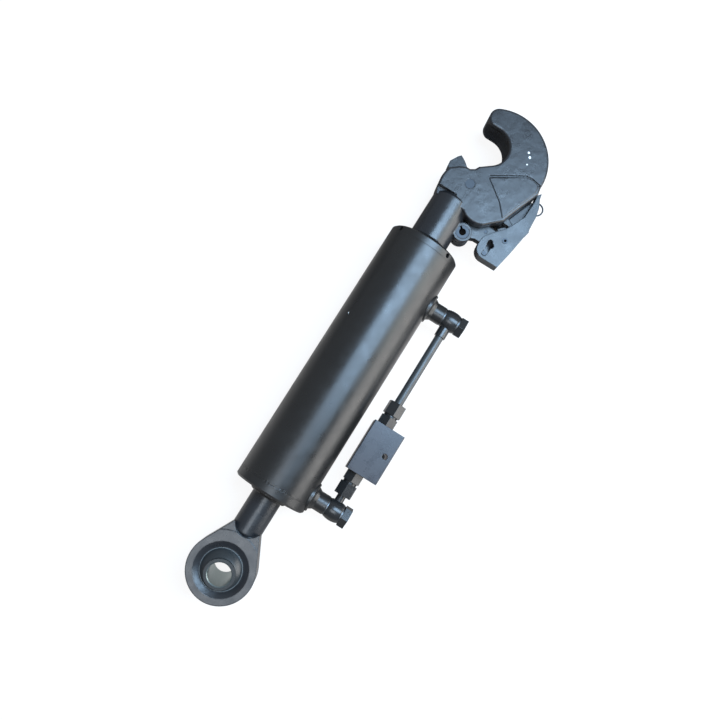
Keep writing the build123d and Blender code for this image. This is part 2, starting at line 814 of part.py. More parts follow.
# Hook: flat cheeks and jaw, a round neck, the seat for the ball and the channel for the latch
seat_radius = ball_radius + seat_clearance
with BuildPart() as hook_body:
    with BuildSketch():
        with BuildLine():
            jaw = ThreePointArc(
                near_seat(-19.3, -sqrt(jaw_radius**2 - 19.3**2)),
                near_seat(0, -jaw_radius),
                near_seat(jaw_radius, 0),
            )
            inner_side = Line(jaw @ 1, near_seat(jaw_radius, 9.5))
            tip = ThreePointArc(inner_side @ 1, near_seat(33.4, 18.4), near_seat(45.6, 12))
            back = ThreePointArc(tip @ 1, near_seat(33.5, -58.5), near_seat(-11, -75.6))
            heel = Polyline(back @ 1, near_seat(-19, -77), near_seat(-58, -62.3), near_seat(-68, -59))
            throat = ThreePointArc(near_seat(-85, -41), near_seat(-87.6, -32), near_seat(-82, -13))
            Line(heel @ 1, throat @ 0)
            top = ThreePointArc(near_seat(-79, 22.5), near_seat(-60, 27.9), near_seat(-47, 25.6))
            Line(throat @ 1, top @ 0)
            Polyline(
                top @ 1,
                near_seat(-39.6, 17),
                near_seat(-35.6, 9),
                near_seat(-35.6, 4.4),
                near_seat(-32.5, -0.3),
                near_seat(-27.5, -3),
                near_seat(-26.5, -4.5),
                jaw @ 0,
            )
        make_face()
    extrude(amount=hook_half_width, both=True)
    rims = hook_body.edges().group_by(Axis.Z)
    seat_middle = Vector(seat[0], seat[1], 0)
    forged_rims = [
        edge
        for edge in rims[0] + rims[-1]
        if (edge.center() - seat_middle).length > jaw_radius + hook_half_width / 2
    ]
    fillet(forged_rims, forging_edge)
    for level in (neck_relief_level, -neck_relief_level - hook_half_width):
        with BuildSketch(Plane.XY.offset(level)):
            with Locations((neck_end - 1, 0)):
                Rectangle(neck_relief_length, 40, align=(Align.MAX, Align.MIN))
        extrude(amount=hook_half_width, mode=Mode.SUBTRACT)
    with BuildSketch():
        with BuildLine():
            Polyline(
                near_seat(-33.6, -19.7),
                near_seat(-8, -58),
                near_seat(-8, -66),
                near_seat(-12, -72),
                near_seat(-20, -73),
                near_seat(-66, -56),
                near_seat(-51.5, -43.7),
                close=True,
            )
        make_face()
    extrude(amount=hook_half_width + panel_rise, both=True)
    groove_floor = hook_half_width - panel_groove_depth
    for level in (groove_floor, -groove_floor - panel_groove_depth * 2):
        with BuildSketch(Plane.XY.offset(level)):
            with BuildLine():
                Polyline(
                    near_seat(-31, -19),
                    near_seat(-8.5, -55),
                    near_seat(-8, -62),
                    near_seat(-10, -74),
                )
            trace(line_width=panel_groove_width)
        extrude(amount=panel_groove_depth * 2, mode=Mode.SUBTRACT)
    with BuildSketch(Plane.XY):
        with BuildLine():
            Polyline(
                (neck_start, 0),
                (neck_start, neck_radius - edge_round),
                (neck_start + edge_round, neck_radius),
                (neck_end - neck_taper, neck_radius),
                (neck_end, neck_radius - neck_taper),
                (neck_end, 0),
                close=True,
            )
        make_face()
    revolve(axis=Axis.X)
    with Locations((seat[0], seat[1], 0)):
        Sphere(seat_radius, mode=Mode.SUBTRACT)
    with BuildSketch(Plane(origin=(seat[0], seat[1], 0), z_dir=(0, 1, 0))):
        Circle(seat_radius)
    extrude(amount=seat_radius * 2, mode=Mode.SUBTRACT)
    with BuildSketch(Plane.YZ.offset(neck_start)):
        Circle(spigot_radius + seated)
    extrude(amount=spigot_length + side_gap, mode=Mode.SUBTRACT)
    with BuildSketch(latch_plane):
        with BuildLine():
            Polyline(
                (-70, channel_open_low),
                (-5, channel_open_low),
                (-5, channel_low),
                (60, channel_low),
                (60, channel_high),
                (-70, channel_high),
                close=True,
            )
        make_face()
    extrude(amount=channel_half_width, both=True, mode=Mode.SUBTRACT)
    with BuildSketch(latch_plane):
        with Locations((-70, channel_open_low)):
            Rectangle(42, 11, align=(Align.MIN, Align.MAX))
    extrude(amount=rocker_outer + side_gap, both=True, mode=Mode.SUBTRACT)
    with BuildSketch():
        with Locations(ear):
            Circle(ear_radius)
    extrude(amount=ear_half_width, both=True)
    pocket_depth = rocker_outer + side_gap - tongue_half_width
    for level in (tongue_half_width, -tongue_half_width - pocket_depth):
        with BuildSketch(Plane.XY.offset(level)):
            with Locations(ear):
                Circle(rocker_eye_radius + 1)
        with BuildSketch(latch_plane.offset(level)):
            with Locations((-60, -14)):
                Rectangle(27, 30, align=(Align.MIN, Align.MIN))
        extrude(amount=pocket_depth, mode=Mode.SUBTRACT)
    with BuildSketch():
        with BuildLine():
            Polyline(
                near_seat(-101, -33),
                near_seat(-93.5, -33),
                near_seat(-94, -44),
                near_seat(-95, -50),
                (park[0] + 3.6, park[1] + 0.5),
                (park[0] - 2.6, park[1] + 2.4),
                near_seat(-98, -50),
                near_seat(-98, -42),
                close=True,
            )
        make_face()
        with Locations(park):
            Circle(park_pin_radius + 1)
    extrude(amount=tongue_half_width, both=True)
    with BuildSketch():
        with Locations(ear):
            Circle(roll_pin_radius + seated)
        with Locations(park):
            Circle(park_pin_radius + seated)
    extrude(amount=hook_half_width * 2, both=True, mode=Mode.SUBTRACT)
    for level in (lug_inner, -lug_inner - lug_thickness):
        with BuildSketch(Plane.XY.offset(level)):
            with BuildLine():
                Polyline(
                    near_seat(-63, -57),
                    near_seat(-54, -60),
                    (spring_post_hook[0] + 3, spring_post_hook[1]),
                    (spring_post_hook[0] - 1, spring_post_hook[1] + 2.5),
                    close=True,
                )
            make_face()
            with Locations(spring_post_hook):
                Circle(spring_post_radius + 1.4)
                Circle(spring_post_radius + seated, mode=Mode.SUBTRACT)
        extrude(amount=lug_thickness)
    with BuildSketch(latch_plane.offset(-hook_half_width * 2)):
        with Locations((guide_pin_along, guide_pin_up)):
            Circle(guide_pin_radius + seated)
    extrude(amount=hook_half_width * 4, mode=Mode.SUBTRACT)
    with BuildSketch(latch_plane.offset(hook_half_width - guide_head_depth)):
        with Locations((guide_pin_along, guide_pin_up)):
            Circle(guide_head_radius + seated)
    extrude(amount=guide_head_depth * 2, mode=Mode.SUBTRACT)
    with BuildSketch(latch_plane.offset(guide_head_depth - hook_half_width)):
        with Locations((guide_pin_along, guide_pin_up)):
            Circle(guide_head_radius + seated)
    extrude(amount=-guide_head_depth * 2, mode=Mode.SUBTRACT)
finish(hook_body, "hook_body")

# Pins of the hook
with BuildPart() as roll_pin:
    with BuildSketch(Plane.XY.offset(-ear_half_width)):
        with Locations(ear):
            Circle(roll_pin_radius)
            Circle(roll_pin_radius - roll_pin_wall, mode=Mode.SUBTRACT)
        with Locations(Pos(ear[0], ear[1]) * Rot(0, 0, latch_angle)):
            Rectangle(
                ear_radius, roll_pin_slot, align=(Align.MIN, Align.CENTER), mode=Mode.SUBTRACT
            )
    extrude(amount=ear_half_width * 2)
finish(roll_pin, "roll_pin")
with BuildPart() as park_pin:
    with BuildSketch(Plane.XY.offset(-tongue_half_width)):
        with Locations(park):
            Circle(park_pin_radius)
    extrude(amount=tongue_half_width + lever_half_width)
finish(park_pin, "park_pin")
with BuildPart() as pawl_guide_pin:
    with BuildSketch(latch_plane):
        with Locations((guide_pin_along, guide_pin_up)):
            Circle(guide_pin_radius)
    extrude(amount=hook_half_width, both=True)
    with BuildSketch(latch_plane.offset(hook_half_width - guide_head_depth)):
        with Locations((guide_pin_along, guide_pin_up)):
            Circle(guide_head_radius)
    extrude(amount=guide_head_depth)
    with BuildSketch(latch_plane.offset(-hook_half_width)):
        with Locations((guide_pin_along, guide_pin_up)):
            Circle(guide_head_radius)
    extrude(amount=guide_head_depth)
finish(pawl_guide_pin, "pawl_guide_pin")
with BuildPart() as spring_post_fixed:
    with BuildSketch():
        with Locations(spring_post_hook):
            Circle(spring_post_radius)
    extrude(amount=lug_inner + lug_thickness, both=True)
finish(spring_post_fixed, "spring_post_hook")

# Latch pawl, a bar that slides in the channel and closes the mouth
with BuildPart() as latch_pawl:
    with BuildSketch(latch_plane):
        with BuildLine():
            Polyline(
                (pawl_back, pawl_low),
                (31.8, pawl_low),
                (35.9, -7.8),
                (40.5, -6.8),
                (43.9, -5.7),
                (43.7, -1.4),
                (40.8, 8.9),
                (36.3, pawl_high),
                (-24, pawl_high),
                (pawl_back, -0.5),
                close=True,
            )
        make_face()
        with Locations((guide_pin_along + pawl_travel / 2, guide_pin_up)):
            SlotCenterToCenter(pawl_travel, 2 * (guide_pin_radius + side_gap), mode=Mode.SUBTRACT)
    extrude(amount=pawl_half_width, both=True)
    with BuildSketch(latch_plane):
        with Locations((drive_on_latch.X, drive_on_latch.Y)):
            Circle(tail_radius)
            Rectangle(14, tail_radius * 2, align=(Align.MIN, Align.CENTER))
    extrude(amount=tail_half_width, both=True)
    with BuildSketch(latch_plane):
        with Locations((drive_on_latch.X, drive_on_latch.Y)):
            SlotOverall(
                2 * (drive_pin_radius + running) + 1.6, 2 * (drive_pin_radius + running), rotation=90
            )
    extrude(amount=pawl_half_width, both=True, mode=Mode.SUBTRACT)
finish(latch_pawl, "latch_pawl")

# Release lever, a pressed channel with a cam slot for the park pin
corner_middle = (seat[0] - 102.2, seat[1] - 60.5)
cam_radius = sqrt((park[0] - ear[0]) ** 2 + (park[1] - ear[1]) ** 2)


def lever_outline(inset):
    """The lever's side from its left end along the lower edge to the finger tab."""
    left = corner_middle[0] - lever_corner + inset
    top = corner_middle[1] + lever_corner - inset
    corner = ThreePointArc(
        (corner_middle[0], top),
        (
            corner_middle[0] - (lever_corner - inset) * sqrt(0.5),
            corner_middle[1] + (lever_corner - inset) * sqrt(0.5),
        ),
        (left, corner_middle[1]),
    )
    lower = Polyline(
        corner @ 1,
        (left, seat[1] - 81 + inset),
        near_seat(-92.5, -85.3 + inset),
        near_seat(-64, -89.8 + inset),
        near_seat(-59.5, -91.2 + inset),
        near_seat(-56, -90.1 + inset),
        near_seat(-39, -89.2 + inset),
        near_seat(-28, -86.8 + inset),
        near_seat(-18.4, -82.4 + inset),
    )
    return corner @ 0, lower @ 1


lever_inner = lever_half_width - lever_plate
with BuildPart() as release_lever:
    with BuildSketch():
        with BuildLine():
            first, last = lever_outline(0)
            Polyline(
                last,
                near_seat(-11.4, -81),
                near_seat(-15.5, -77.5),
                near_seat(-24, -78.8),
                near_seat(-45.5, -78),
                near_seat(-61, -71.3),
                near_seat(-69, -67),
                near_seat(-84, -54),
                near_seat(-90, -50),
                near_seat(-97, -48.2),
                first,
            )
        make_face()
    extrude(amount=lever_half_width, both=True)
    with BuildSketch(Plane.XY.offset(-lever_half_width)):
        with BuildLine():
            Polyline(
                near_seat(-18.4, -82.4),
                near_seat(-21, -76.7),
                near_seat(-58, -62.8),
                near_seat(-68, -59.5),
                near_seat(-84, -54),
                near_seat(-69, -75),
                close=True,
            )
        make_face()
    extrude(amount=lever_plate)
    with BuildSketch():
        with BuildLine():
            first, last = lever_outline(lever_plate)
            Polyline(
                last,
                near_seat(-18.4, -70),
                near_seat(-90, -40),
                (first.X, first.Y + lever_plate * 2),
                first,
            )
        make_face()
    extrude(amount=lever_inner, both=True, mode=Mode.SUBTRACT)
    with BuildLine() as cam_path:
        CenterArc(ear, cam_radius, -101.1, lever_swing + 1)
    with BuildSketch():
        SlotArc(cam_path.line.edge(), cam_slot_width)
        with Locations(near_seat(-96, -62.3)):
            Circle(cam_slot_width / 2 + 0.2)
    extrude(amount=lever_half_width * 2, mode=Mode.SUBTRACT)
    with BuildSketch():
        with Locations(rivet_place):
            Circle(rivet_radius + seated)
    extrude(amount=lever_half_width * 2, both=True, mode=Mode.SUBTRACT)
    with BuildSketch(Plane(origin=(loop_place[0], loop_place[1] - 6, 0), x_dir=(1, 0, 0), z_dir=(0, 1, 0))):
        with Locations((0.7 - loop_radius, 0), (loop_radius - 0.7, 0)):
            SlotOverall(loop_wire * 2 + 6, loop_wire * 2 + 2.4, rotation=90)
    extrude(amount=loop_rise + 8, mode=Mode.SUBTRACT)
finish(release_lever, "release_lever")

# Rocker: two plates between the lever's sides, which carry the drive pin
with BuildPart() as lever_rocker:
    for level in (rocker_inner, -rocker_outer):
        with BuildSketch(Plane.XY.offset(level)):
            with BuildLine():
                Polyline(
                    (ear[0], ear[1] - 9),
                    near_seat(-98.4, -42),
                    near_seat(-98.4, -52),
                    near_seat(-90.5, -55.5),
                    near_seat(-89.5, -66),
                    (rivet_place[0] - 4.5, rivet_place[1] - 3),
                    (rivet_place[0] + 3.5, rivet_place[1] - 3),
                    (rivet_place[0] + 4, rivet_place[1] + 4),
                    (drive[0] + 5, drive[1] - 4),
                    (drive[0] + 1.5, drive[1] + 5.8),
                    (ear[0] + 9.5, ear[1] + 3),
                    close=True,
                )
            make_face()
            with Locations(ear):
                Circle(rocker_eye_radius)
                Circle(roll_pin_radius + running, mode=Mode.SUBTRACT)
            with Locations(drive):
                Circle(drive_eye_radius)
                Circle(drive_pin_radius + seated, mode=Mode.SUBTRACT)
            with Locations(rivet_place):
                Circle(rivet_radius + seated, mode=Mode.SUBTRACT)
            with Locations(spring_post_lever):
                Circle(spring_post_radius + seated, mode=Mode.SUBTRACT)
        extrude(amount=rocker_outer - rocker_inner)
finish(lever_rocker, "lever_rocker")
with BuildPart() as drive_pin:
    with BuildSketch(Plane.XY.offset(-rocker_outer)):
        with Locations(drive):
            Circle(drive_pin_radius)
    extrude(amount=rocker_outer * 2)
finish(drive_pin, "drive_pin")
with BuildPart() as spring_post_moving:
    with BuildSketch(Plane.XY.offset(-rocker_outer)):
        with Locations(spring_post_lever):
            Circle(spring_post_radius)
    extrude(amount=rocker_outer * 2)
finish(spring_post_moving, "spring_post_lever")
with BuildPart() as lever_rivet:
    with BuildSketch():
        with Locations(rivet_place):
            Circle(rivet_radius)
    extrude(amount=lever_half_width + rivet_head_height, both=True)
    for level in (lever_half_width, -lever_half_width - rivet_head_height):
        with BuildSketch(Plane.XY.offset(level)):
            with Locations(rivet_place):
                Circle(rivet_head_radius)
        extrude(amount=rivet_head_height)
    with BuildSketch():
        with Locations(rivet_place):
            Circle(rivet_bore)
    extrude(amount=lever_half_width * 2, both=True, mode=Mode.SUBTRACT)
finish(lever_rivet, "lever_rivet")

# Wire loop that pulls the lever
with BuildPart() as pull_ring:
    with BuildLine():
        bow = ThreePointArc(
            (loop_place[0] - loop_radius, loop_place[1]),
            (loop_place[0], loop_place[1] - loop_radius),
            (loop_place[0] + loop_radius, loop_place[1]),
        )
        right_leg = Line(bow @ 1, (loop_place[0] + loop_radius, loop_place[1] + loop_rise))
        bar = Line(right_leg @ 1, (loop_place[0] - loop_radius, loop_place[1] + loop_rise))
        Line(bar @ 1, bow @ 0)
    with BuildSketch(Plane(origin=bow @ 0, z_dir=bow % 0)):
        Circle(loop_wire)
    sweep(transition=Transition.ROUND)
finish(pull_ring, "pull_ring")

# Extension spring that pulls the lever back, with an eye round each post
spring_run = Vector(*spring_post_hook) - Vector(*spring_post_lever)
spring_direction = spring_run.normalized()
eye_size = spring_post_radius + spring_wire + running
coil_start = Vector(*spring_post_lever) + spring_direction * spring_lead
coil_end = Vector(*spring_post_hook) - spring_direction * spring_trail
coil_length = (coil_end - coil_start).length
with BuildPart() as latch_spring:
    with BuildLine() as coil_path:
        coil = Helix(
            pitch=coil_length / spring_turns,
            height=coil_length,
            radius=spring_radius,
            center=coil_start,
            direction=spring_direction,
        )
    for post, joining in ((spring_post_lever, coil @ 0), (spring_post_hook, coil @ 1)):
        outward = (joining - Vector(*post)).normalized()
        with BuildSketch(Plane(origin=Vector(*post) + outward * eye_size, z_dir=outward)):
            Circle(spring_wire * 0.9)
        extrude(amount=(joining - Vector(*post)).length - eye_size + spring_wire / 7)
        with BuildSketch(Plane.XZ.offset(-post[1])):
            with Locations((post[0] + eye_size, 0)):
                Circle(spring_wire)
        revolve(axis=Axis((post[0], post[1], 0), (0, 0, 1)))
    with BuildSketch(Plane(origin=coil @ 0, z_dir=coil % 0)):
        Circle(spring_wire)
    sweep(path=coil_path.line)
finish(latch_spring, "latch_spring")
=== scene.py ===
import math

import bmesh
import bpy
from mathutils import Matrix, Vector


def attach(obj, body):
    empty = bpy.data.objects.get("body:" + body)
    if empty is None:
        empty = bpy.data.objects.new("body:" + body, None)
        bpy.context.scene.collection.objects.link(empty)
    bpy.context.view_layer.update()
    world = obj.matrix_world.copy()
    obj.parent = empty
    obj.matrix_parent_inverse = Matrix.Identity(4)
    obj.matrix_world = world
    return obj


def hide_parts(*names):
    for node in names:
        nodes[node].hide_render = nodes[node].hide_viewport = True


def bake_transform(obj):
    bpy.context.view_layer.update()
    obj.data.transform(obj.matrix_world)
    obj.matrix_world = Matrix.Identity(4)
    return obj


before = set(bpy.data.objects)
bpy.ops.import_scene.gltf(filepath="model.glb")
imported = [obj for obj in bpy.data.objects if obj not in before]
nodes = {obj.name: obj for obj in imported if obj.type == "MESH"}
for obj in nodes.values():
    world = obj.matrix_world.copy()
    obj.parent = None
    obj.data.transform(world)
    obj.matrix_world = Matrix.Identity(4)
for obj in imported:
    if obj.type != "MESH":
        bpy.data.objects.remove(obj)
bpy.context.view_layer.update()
MM = 0.001


def linear(hex_colour):
    """The linear colour of an sRGB hex colour, with alpha 1."""
    channels = [int(hex_colour[i:i + 2], 16) / 255 for i in (1, 3, 5)]
    return [c / 12.92 if c <= 0.04045 else ((c + 0.055) / 1.055) ** 2.4 for c in channels] + [1.0]


# Node materials
# A Mix node's sockets go by number, because their names repeat: for colours, then for plain numbers
COLOUR_A, COLOUR_B, COLOUR_OUT = 6, 7, 2
NUMBER_A, NUMBER_B, NUMBER_OUT = 2, 3, 0


def new_material(name):
    material = bpy.data.materials.new(name)
    material.use_nodes = True
    tree = material.node_tree
    shader = tree.nodes["Principled BSDF"]
    return material, tree, shader


def add_node(tree, kind, inputs=None, **settings):
    """One node with its settings, its constant inputs and its links."""
    node = tree.nodes.new(kind)
    for key, value in settings.items():
        setattr(node, key, value)
    for key, value in (inputs or {}).items():
        if isinstance(value, bpy.types.NodeSocket):
            tree.links.new(value, node.inputs[key])
        else:
            node.inputs[key].default_value = value
    return node


PRIMER = "#d3d6d8"
# The pale colour of a painted highlight on a rounded lip
LIP_HIGHLIGHT_COLOUR = "#8c9598"
# Widths in mm: the paint's drift in colour, the smudges of dust and hands, the swells that a die
# leaves in a forging, the ripples of a weld and the rags round a chip. Then the ripples' height
DRIFT, SMUDGE, DIE_SWELL, WELD_RIPPLE, CHIP_RAGS = 45, 14, 9, 3.5, 1.1
WELD_RIPPLE_HEIGHT = 0.55
# What is added to the roughness where hands have polished the paint and where dust has dulled it,
# and the shares of the smudge pattern at which it is wholly the one or the other
POLISHED, DULLED = -0.05, 0.07
POLISHED_BELOW, DULLED_ABOVE = 0.3, 0.7
# In radii of a chip: how far its edge wanders, and between which two radii the primer ends
CHIP_WANDER, CHIP_INSIDE, CHIP_OUTSIDE = 0.9, 1.35, 1.45
# A painted lip highlight in mm: at full strength out to the first distance, gone from the second,
# and its strength
LIP_CORE, LIP_RIM, LIP_HIGHLIGHT_STRENGTH = 0.3, 0.9, 0.5


def painted_steel(name, colour, worn, roughness, peel_mm, peel_depth, rounded_mm=0.6, swell_depth=0,
                  chips=(), seam=None, lip_highlight=None):
    """Sprayed satin paint, or a dark plated film: the colour drifts a little over the piece, fine
    orange peel blurs what it mirrors, and smudges break up its shine. The bevel rounds sharp edges
    as a film does, so that they catch the light. A forging swells slowly under its paint. Widths,
    depths, radii and places are in mm. Each chip is a place and a radius where the pale primer
    shows. A seam is a stretch along X where the ripples of a ground weld show. A lip highlight is a
    ring round Z, by its radius and level, where a pale colour paints the light that a rounded lip
    catches."""
    material, tree, shader = new_material(name)
    place = add_node(tree, "ShaderNodeTexCoord").outputs["Object"]
    drift = add_node(tree, "ShaderNodeTexNoise",
                     {"Vector": place, "Scale": 1 / (DRIFT * MM), "Detail": 4.0})
    paint = add_node(tree, "ShaderNodeMix", {
        "Factor": drift.outputs["Fac"], COLOUR_A: linear(colour), COLOUR_B: linear(worn),
    }, data_type="RGBA").outputs[COLOUR_OUT]
    if chips:
        rags = add_node(tree, "ShaderNodeTexNoise",
                        {"Vector": place, "Scale": 1 / (CHIP_RAGS * MM), "Detail": 2.0})
    for x, y, z, radius in chips:
        away = add_node(tree, "ShaderNodeVectorMath", {0: place, 1: (x * MM, y * MM, z * MM)},
                        operation="DISTANCE")
        uneven = add_node(tree, "ShaderNodeMath", {
            0: rags.outputs["Fac"], 1: radius * CHIP_WANDER * MM, 2: away.outputs["Value"],
        }, operation="MULTIPLY_ADD")
        primer_and_highlight = add_node(tree, "ShaderNodeMapRange", {
            "Value": uneven.outputs["Value"], "From Min": radius * CHIP_INSIDE * MM,
            "From Max": radius * CHIP_OUTSIDE * MM, "To Min": 1.0, "To Max": 0.0,
        })
        paint = add_node(tree, "ShaderNodeMix", {
            "Factor": primer_and_highlight.outputs["Result"], COLOUR_A: paint, COLOUR_B: linear(PRIMER),
        }, data_type="RGBA").outputs[COLOUR_OUT]
    # A painted highlight: a pale ring on the seat lip, standing for the light that its rounded edge
    # catches
    if lip_highlight:
        lip_radius, lip_level = lip_highlight
        flat = add_node(tree, "ShaderNodeVectorMath", {0: place, 1: (1, 1, 0)},
                        operation="MULTIPLY")
        radius = add_node(tree, "ShaderNodeVectorMath", {0: flat.outputs["Vector"]},
                          operation="LENGTH")
        height = add_node(tree, "ShaderNodeSeparateXYZ", {0: place}).outputs["Z"]
        level = add_node(tree, "ShaderNodeMath", {0: height}, operation="ABSOLUTE")
        section = add_node(tree, "ShaderNodeCombineXYZ",
                           {"X": radius.outputs["Value"], "Y": level.outputs["Value"]})
        away = add_node(tree, "ShaderNodeVectorMath",
                        {0: section.outputs["Vector"], 1: (lip_radius * MM, lip_level * MM, 0)},
                        operation="DISTANCE")
        primer_and_highlight = add_node(tree, "ShaderNodeMapRange", {
            "Value": away.outputs["Value"], "From Min": LIP_CORE * MM, "From Max": LIP_RIM * MM,
            "To Min": LIP_HIGHLIGHT_STRENGTH, "To Max": 0.0,
        })
        paint = add_node(tree, "ShaderNodeMix", {
            "Factor": primer_and_highlight.outputs["Result"], COLOUR_A: paint, COLOUR_B: linear(LIP_HIGHLIGHT_COLOUR),
        }, data_type="RGBA").outputs[COLOUR_OUT]
    tree.links.new(paint, shader.inputs["Base Color"])

    smudge = add_node(tree, "ShaderNodeTexNoise",
                      {"Vector": place, "Scale": 1 / (SMUDGE * MM), "Detail": 5.0})
    shine = add_node(tree, "ShaderNodeMapRange", {
        "Value": smudge.outputs["Fac"], "From Min": POLISHED_BELOW, "From Max": DULLED_ABOVE,
        "To Min": roughness + POLISHED, "To Max": roughness + DULLED,
    })
    tree.links.new(shine.outputs["Result"], shader.inputs["Roughness"])

    rounded = add_node(tree, "ShaderNodeBevel", {"Radius": rounded_mm * MM}, samples=6)
    skin = rounded.outputs["Normal"]
    if swell_depth:
        swell = add_node(tree, "ShaderNodeTexNoise",
                         {"Vector": place, "Scale": 1 / (DIE_SWELL * MM), "Detail": 1.5})
        skin = add_node(tree, "ShaderNodeBump", {
            "Height": swell.outputs["Fac"], "Distance": swell_depth * MM, "Normal": skin,
        }).outputs["Normal"]
    if seam:
        along = add_node(tree, "ShaderNodeSeparateXYZ", {0: place}).outputs["X"]
        middle, half = (seam[0] + seam[1]) / 2, (seam[1] - seam[0]) / 2
        inside = add_node(tree, "ShaderNodeMath", {0: along, 1: middle * MM, 2: half * MM},
                          operation="COMPARE")
        ripple = add_node(tree, "ShaderNodeTexNoise",
                          {"Vector": place, "Scale": 1 / (WELD_RIPPLE * MM), "Detail": 3.0})
        laid = add_node(tree, "ShaderNodeMath",
                        {0: inside.outputs["Value"], 1: ripple.outputs["Fac"]},
                        operation="MULTIPLY")
        skin = add_node(tree, "ShaderNodeBump", {
            "Height": laid.outputs["Value"], "Distance": WELD_RIPPLE_HEIGHT * MM, "Normal": skin,
        }).outputs["Normal"]
    peel = add_node(tree, "ShaderNodeTexNoise",
                    {"Vector": place, "Scale": 1 / (peel_mm * MM), "Detail": 3.0})
    bump = add_node(tree, "ShaderNodeBump", {
        "Height": peel.outputs["Fac"], "Distance": peel_depth * MM, "Normal": skin,
    })
    tree.links.new(bump.outputs["Normal"], shader.inputs["Normal"])
    return material


# Turning and drawing marks lie about 0.1 mm apart, too fine to show, so they are drawn as a grain
# of these widths in mm
STEEL_GRAIN, BALL_GRAIN = 3, 2
STEEL_GRAIN_ROUGHNESS = 0.06


def bare_steel(name, colour, roughness):
    """Bare turned, drawn or ground metal: its fine marks spread the shine unevenly."""
    material, tree, shader = new_material(name)
    shader.inputs["Base Color"].default_value = linear(colour)
    shader.inputs["Metallic"].default_value = 1.0
    place = add_node(tree, "ShaderNodeTexCoord").outputs["Object"]
    grain = add_node(tree, "ShaderNodeTexNoise",
                     {"Vector": place, "Scale": 1 / (STEEL_GRAIN * MM), "Detail": 4.0})
    shine = add_node(tree, "ShaderNodeMapRange", {
        "Value": grain.outputs["Fac"], "To Min": roughness - STEEL_GRAIN_ROUGHNESS,
        "To Max": roughness + STEEL_GRAIN_ROUGHNESS,
    })
    tree.links.new(shine.outputs["Result"], shader.inputs["Roughness"])
    return material


# The ball's bore, by its radius in mm and its direction. The ball is bright up to the first
# distance past the bore's edge, and dark from the second. Then its lowest and highest roughness
BALL_BORE = 12.85
BALL_AXIS = (-0.152478, -0.058531, 0.986572)
RUBBED_ALL, RUBBED_NONE = 0.2, 1.1
BALL_SMOOTH, BALL_ROUGH = 0.26, 0.42


def pin_ball(name, phosphate, bright):
    """A ball dulled black by phosphating, whose bore the hitch pin has rubbed to bright steel."""
    material, tree, shader = new_material(name)
    place = add_node(tree, "ShaderNodeTexCoord").outputs["Object"]
    off_axis = add_node(tree, "ShaderNodeVectorMath", {0: place, 1: BALL_AXIS},
                        operation="CROSS_PRODUCT")
    radius = add_node(tree, "ShaderNodeVectorMath", {0: off_axis.outputs["Vector"]},
                      operation="LENGTH")
    rubbed = add_node(tree, "ShaderNodeMapRange", {
        "Value": radius.outputs["Value"], "From Min": (BALL_BORE + RUBBED_ALL) * MM,
        "From Max": (BALL_BORE + RUBBED_NONE) * MM, "To Min": 1.0, "To Max": 0.0,
    }).outputs["Result"]
    colour = add_node(tree, "ShaderNodeMix",
                      {"Factor": rubbed, COLOUR_A: linear(phosphate), COLOUR_B: linear(bright)},
                      data_type="RGBA")
    tree.links.new(colour.outputs[COLOUR_OUT], shader.inputs["Base Color"])
    tree.links.new(rubbed, shader.inputs["Metallic"])
    grain = add_node(tree, "ShaderNodeTexNoise",
                     {"Vector": place, "Scale": 1 / (BALL_GRAIN * MM), "Detail": 4.0})
    shine = add_node(tree, "ShaderNodeMapRange",
                     {"Value": grain.outputs["Fac"], "To Min": BALL_SMOOTH, "To Max": BALL_ROUGH})
    tree.links.new(shine.outputs["Result"], shader.inputs["Roughness"])
    return material


def soft_part(name, colour, roughness):
    """Moulded rubber or filled plastic: one even, dull colour. Most of it lies in the cylinder."""
    material, tree, shader = new_material(name)
    shader.inputs["Base Color"].default_value = linear(colour)
    shader.inputs["Roughness"].default_value = roughness
    return material


